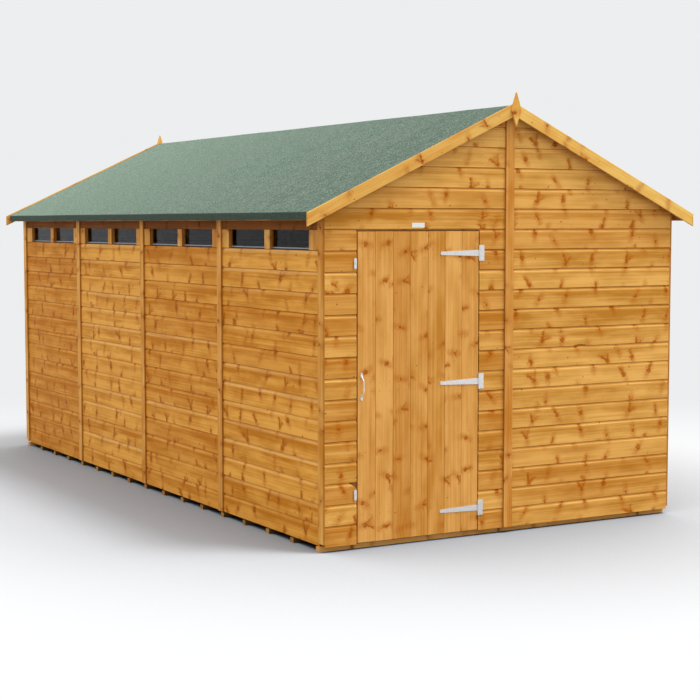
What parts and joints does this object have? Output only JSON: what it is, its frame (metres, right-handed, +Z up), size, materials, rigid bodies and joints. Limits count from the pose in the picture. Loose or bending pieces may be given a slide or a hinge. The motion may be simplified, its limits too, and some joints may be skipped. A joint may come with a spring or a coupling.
{
  "type": "wooden garden shed",
  "caption": "Long wooden garden shed with a pitched felted roof, a boarded door in one gable and a row of high windows along one side.",
  "frame": {"origin": "on the ground at the middle of the plan, halfway between the gables and the side walls", "axes": "+Z up, -Y out of the gable with the door, -X out of the wall with the windows"},
  "size_m": [2.608, 4.934, 2.4573],
  "materials": {
    "cladding": "dipped softwood, satin",
    "door_timber": "dipped softwood, satin",
    "trim_timber": "dipped softwood, satin",
    "frame_timber": "sawn and planed softwood, matt",
    "roof_boards": "sawn softwood, matt",
    "floor_timber": "treated softwood, matt",
    "mineral_felt": "green mineral grit on bitumen felt",
    "glazing": "clear styrene sheet, gloss",
    "galvanised_steel": "galvanised, satin"
  },
  "bodies": {
    "root": {"floor_joists": "floor_timber", "floor_boards": "floor_timber", "left_wall_cladding": "cladding", "left_wall_studs": "frame_timber", "left_wall_rails": "frame_timber", "left_window_posts": "trim_timber", "left_window_heads": "trim_timber", "left_window_linings": "trim_timber", "left_window_panes": "glazing", "right_wall_cladding": "cladding", "right_wall_studs": "frame_timber", "right_wall_rails": "frame_timber", "side_joint_strips": "trim_timber", "corner_strips": "trim_timber", "gable_centre_strips": "trim_timber", "front_cladding_left": "cladding", "front_cladding_over_door": "cladding", "front_cladding_middle": "cladding", "front_cladding_right": "cladding", "front_wall_studs": "frame_timber", "front_wall_rails": "frame_timber", "door_stops": "frame_timber", "rear_cladding": "cladding", "rear_wall_studs": "frame_timber", "rear_wall_rails": "frame_timber", "roof_boards_left": "roof_boards", "roof_boards_right": "roof_boards", "roof_felt": "mineral_felt", "eaves_rails": "frame_timber", "ridge_beam": "frame_timber", "rafters": "frame_timber", "front_bargeboards": "trim_timber", "rear_bargeboards": "trim_timber", "finials": "trim_timber", "hinge_plates": "galvanised_steel", "turn_button_screws": "galvanised_steel"},
    "door": {"door_boards": "door_timber", "door_ledges": "door_timber", "door_braces": "door_timber", "hinge_straps": "galvanised_steel", "door_handle": "galvanised_steel"},
    "lower_button": {"lower_turn_button": "galvanised_steel"},
    "upper_button": {"upper_turn_button": "galvanised_steel"}
  },
  "joints": [
    {"name": "door_hinge", "type": "hinge", "parent": "root", "child": "door", "pos_m": [-0.1975, -2.405, 0.8675], "axis": [0, 0, 1], "range_deg": [0, 170]},
    {"name": "lower_button_turn", "type": "hinge", "parent": "root", "child": "lower_button", "pos_m": [-0.9905, -2.407, 0.298], "axis": [0, -1, 0], "range_deg": [0, 90]},
    {"name": "upper_button_turn", "type": "hinge", "parent": "root", "child": "upper_button", "pos_m": [-0.9905, -2.407, 1.527], "axis": [0, -1, 0], "range_deg": [0, 90]}
  ]
}
